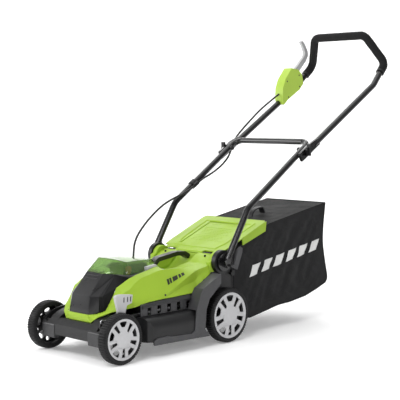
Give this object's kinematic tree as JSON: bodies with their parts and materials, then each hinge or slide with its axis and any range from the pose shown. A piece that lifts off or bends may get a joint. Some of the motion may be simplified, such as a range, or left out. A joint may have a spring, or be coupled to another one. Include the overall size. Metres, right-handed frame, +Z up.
{
  "type": "push lawn mower",
  "caption": "Walk-behind battery lawn mower: low deck on ribbed wheels, shaped hood with clear battery lid, folding tube handle with foam grip, rear flap and fabric grass bag.",
  "frame": {"origin": "on the ground at the middle of the mower's footprint", "axes": "+Y towards the operator (rear), +X to the operator's left, +Z up"},
  "size_m": [0.412, 1.3853, 1.0335],
  "materials": {
    "green_plastic": "satin moulded",
    "black_plastic": "fine texture",
    "grey_plastic": "fine texture",
    "clear_green": "tinted clear plastic",
    "light_grey_plastic": "satin moulded",
    "silver_plastic": "satin silver moulded",
    "tyre_rubber": "moulded tread",
    "black_steel": "gloss black powder coat",
    "bright_steel": "zinc plated",
    "blade_steel": "ground and hardened",
    "foam": "closed-cell foam",
    "bag_fabric": "woven polyester",
    "cable_jacket": "smooth PVC",
    "key_orange": "satin moulded",
    "motor_metal": "cast"
  },
  "bodies": {
    "deck": {"deck_shell": "black_plastic", "rear_housing": "black_plastic", "side_vents": "grey_plastic", "side_rail_left": "grey_plastic", "side_rail_right": "grey_plastic", "hood": "green_plastic", "nose_cowl": "black_plastic", "battery_bay": "black_plastic", "motor_housing": "motor_metal", "controller_box": "black_plastic", "carry_handle": "black_plastic", "hood_screws": "bright_steel", "pivot_boss_left": "black_plastic", "pivot_boss_right": "black_plastic", "axle_bearings": "black_plastic", "flap_hinge_pin": "bright_steel", "cable_grommet": "tyre_rubber"},
    "battery_lid": {"battery_lid": "clear_green", "lid_latch": "light_grey_plastic"},
    "battery": {"battery_pack": "black_plastic"},
    "safety_key": {"safety_key": "key_orange"},
    "rotor": {"rotor_shaft": "bright_steel", "cooling_fan": "black_plastic", "blade_holder": "bright_steel", "blade": "blade_steel", "blade_bolt": "bright_steel"},
    "front_axle": {"front_axle_crank": "bright_steel", "height_lever_grip": "light_grey_plastic"},
    "height_link": {"height_link": "bright_steel"},
    "rear_axle": {"rear_axle_crank": "bright_steel"},
    "front_left_wheel": {"front_left_tyre": "tyre_rubber", "front_left_wheel": "black_plastic", "front_left_hubcap": "silver_plastic"},
    "front_right_wheel": {"front_right_tyre": "tyre_rubber", "front_right_wheel": "black_plastic", "front_right_hubcap": "silver_plastic"},
    "rear_left_wheel": {"rear_left_tyre": "tyre_rubber", "rear_left_wheel": "black_plastic", "rear_left_hubcap": "silver_plastic"},
    "rear_right_wheel": {"rear_right_tyre": "tyre_rubber", "rear_right_wheel": "black_plastic", "rear_right_hubcap": "silver_plastic"},
    "rear_flap": {"rear_flap": "green_plastic"},
    "bag": {"bag_fabric": "bag_fabric", "bag_frame": "black_plastic", "bag_handle": "black_plastic"},
    "lower_handle": {"lower_handle": "black_steel", "cable_clip": "black_plastic", "cable_lower": "cable_jacket"},
    "cam_lever_left": {"cam_lever_left": "grey_plastic"},
    "cam_lever_right": {"cam_lever_right": "grey_plastic"},
    "wing_knob_left": {"wing_knob_left": "black_plastic"},
    "wing_knob_right": {"wing_knob_right": "black_plastic"},
    "upper_handle": {"upper_handle": "black_steel", "foam_grip": "foam", "switch_box": "green_plastic", "cable_upper": "cable_jacket"},
    "bail_lever": {"bail_lever": "light_grey_plastic"},
    "start_button": {"start_button": "grey_plastic"}
  },
  "joints": [
    {"name": "lid_hinge", "type": "hinge", "parent": "deck", "child": "battery_lid", "pos_m": [0, -0.34765, 0.258], "axis": [-1, 0, 0], "range_deg": [0, 70]},
    {"name": "battery_lift", "type": "slide", "parent": "deck", "child": "battery", "axis": [0, 0, 1], "range_m": [0, 0.008]},
    {"name": "key_pull", "type": "slide", "parent": "deck", "child": "safety_key", "axis": [0, 0, 1], "range_m": [0, 0.006]},
    {"name": "rotor_spin", "type": "hinge", "parent": "deck", "child": "rotor", "pos_m": [0, -0.39265, 0.064], "axis": [0, 0, 1], "continuous": true},
    {"name": "cut_height", "type": "hinge", "parent": "deck", "child": "front_axle", "pos_m": [0, -0.64765, 0.098], "axis": [1, 0, 0], "range_deg": [0, 55]},
    {"name": "link_pin", "type": "hinge", "parent": "front_axle", "child": "height_link", "pos_m": [0.123, -0.64765, 0.123], "axis": [1, 0, 0], "range_deg": [-56, 1]},
    {"name": "rear_axle_turn", "type": "hinge", "parent": "deck", "child": "rear_axle", "pos_m": [0, -0.19515, 0.1105], "axis": [1, 0, 0], "range_deg": [-1, 56]},
    {"name": "front_left_roll", "type": "hinge", "parent": "front_axle", "child": "front_left_wheel", "pos_m": [0.168, -0.61765, 0.075], "axis": [1, 0, 0], "continuous": true},
    {"name": "front_right_roll", "type": "hinge", "parent": "front_axle", "child": "front_right_wheel", "pos_m": [-0.168, -0.61765, 0.075], "axis": [1, 0, 0], "continuous": true},
    {"name": "rear_left_roll", "type": "hinge", "parent": "rear_axle", "child": "rear_left_wheel", "pos_m": [0.168, -0.16515, 0.0875], "axis": [1, 0, 0], "continuous": true},
    {"name": "rear_right_roll", "type": "hinge", "parent": "rear_axle", "child": "rear_right_wheel", "pos_m": [-0.168, -0.16515, 0.0875], "axis": [1, 0, 0], "continuous": true},
    {"name": "flap_hinge", "type": "hinge", "parent": "deck", "child": "rear_flap", "pos_m": [0, -0.16505, 0.278], "axis": [1, 0, 0], "range_deg": [0, 60]},
    {"name": "bag_pull", "type": "slide", "parent": "deck", "child": "bag", "axis": [0, 1, 0], "range_m": [0, 0.5]},
    {"name": "handle_fold", "type": "hinge", "parent": "deck", "child": "lower_handle", "pos_m": [0, -0.17065, 0.257], "axis": [1, 0, 0], "range_deg": [0, 115], "deforming": ["cable_lower"]},
    {"name": "upper_fold", "type": "hinge", "parent": "lower_handle", "child": "upper_handle", "pos_m": [0, 0.20635, 0.607], "axis": [1, 0, 0], "range_deg": [-144.5, 0.5], "deforming": ["cable_upper"]},
    {"name": "cam_left", "type": "hinge", "parent": "lower_handle", "child": "cam_lever_left", "pos_m": [0.1864, -0.15565, 0.244], "axis": [0, 0.9371, -0.3489], "range_deg": [0, 95]},
    {"name": "cam_right", "type": "hinge", "parent": "lower_handle", "child": "cam_lever_right", "pos_m": [-0.1864, -0.15565, 0.244], "axis": [0, -0.9371, 0.3489], "range_deg": [0, 95]},
    {"name": "knob_left", "type": "hinge", "parent": "upper_handle", "child": "wing_knob_left", "pos_m": [0.19, 0.20635, 0.607], "axis": [1, 0, 0], "continuous": true},
    {"name": "knob_right", "type": "hinge", "parent": "upper_handle", "child": "wing_knob_right", "pos_m": [-0.19, 0.20635, 0.607], "axis": [1, 0, 0], "continuous": true},
    {"name": "bail_squeeze", "type": "hinge", "parent": "upper_handle", "child": "bail_lever", "pos_m": [-0.181, 0.57635, 0.882], "axis": [-1, 0, 0], "range_deg": [0, 5.2], "stiffness_Nm_per_rad": 1.5, "springref_deg": -5.73},
    {"name": "start_press", "type": "slide", "parent": "upper_handle", "child": "start_button", "axis": [1, 0, 0], "range_m": [0, 0.003], "stiffness_N_per_m": 300, "springref_m": -0.003}
  ],
  "couplings": [
    {"joint": "link_pin", "follows": "cut_height", "ratio": -1},
    {"joint": "rear_axle_turn", "follows": "cut_height", "ratio": 1},
    {"joint": "upper_fold", "follows": "handle_fold", "ratio": -1.25}
  ]
}
